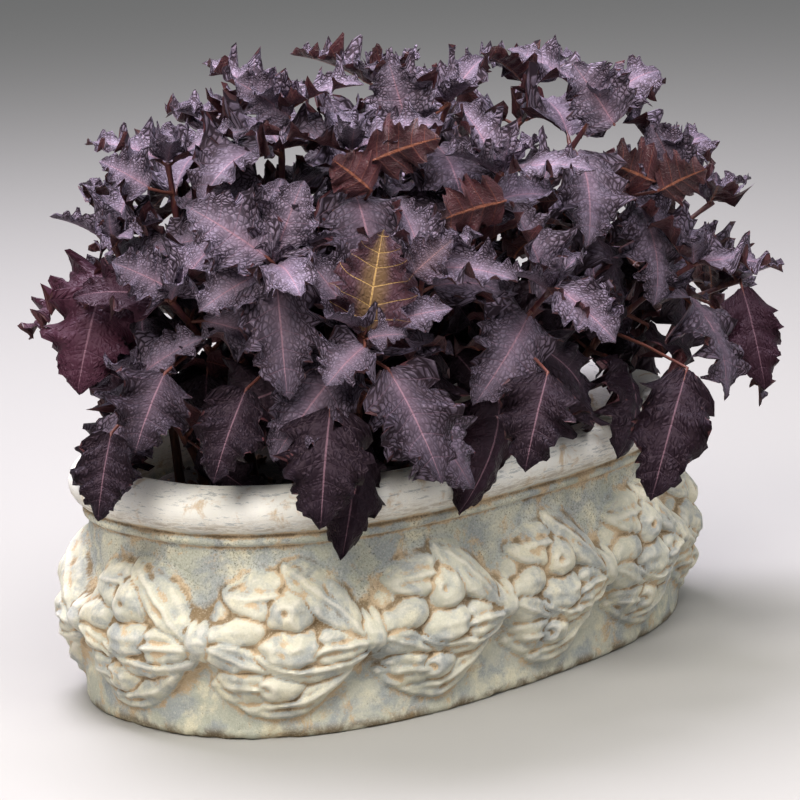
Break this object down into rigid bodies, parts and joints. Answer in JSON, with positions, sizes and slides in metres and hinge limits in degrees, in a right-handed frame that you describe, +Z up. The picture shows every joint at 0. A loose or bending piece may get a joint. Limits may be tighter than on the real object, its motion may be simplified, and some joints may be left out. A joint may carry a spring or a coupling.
{
  "type": "potted purple basil in oval stone trough",
  "caption": "Purple-leaved basil with ruffled, toothed leaves, growing in an oval cast-stone trough with a raised garland and a rounded rim.",
  "frame": {"origin": "centre of the trough's underside, on the surface that it stands on", "axes": "+X along the trough's length, +Y across it, +Z up"},
  "size_m": [0.558, 0.3823, 0.4075],
  "materials": {
    "cast_stone": "matte",
    "potting_soil": "matte",
    "purple_leaf": "satin"
  },
  "bodies": {
    "root": {"trough": "cast_stone", "soil": "potting_soil", "stem_back_a": "purple_leaf", "stem_back_b": "purple_leaf", "stem_back_c": "purple_leaf", "stem_back_d": "purple_leaf", "stem_back_e": "purple_leaf", "stem_back_f": "purple_leaf", "stem_front_a": "purple_leaf", "stem_front_b": "purple_leaf", "stem_front_c": "purple_leaf", "stem_front_d": "purple_leaf", "stem_front_e": "purple_leaf", "stem_front_f": "purple_leaf", "stem_left_a": "purple_leaf", "stem_left_b": "purple_leaf", "stem_left_c": "purple_leaf", "stem_right_a": "purple_leaf", "stem_right_b": "purple_leaf", "stem_right_c": "purple_leaf", "stem_right_d": "purple_leaf", "stem_right_e": "purple_leaf", "stem_top_a": "purple_leaf", "stem_top_b": "purple_leaf", "stem_top_c": "purple_leaf"}
  },
  "joints": []
}
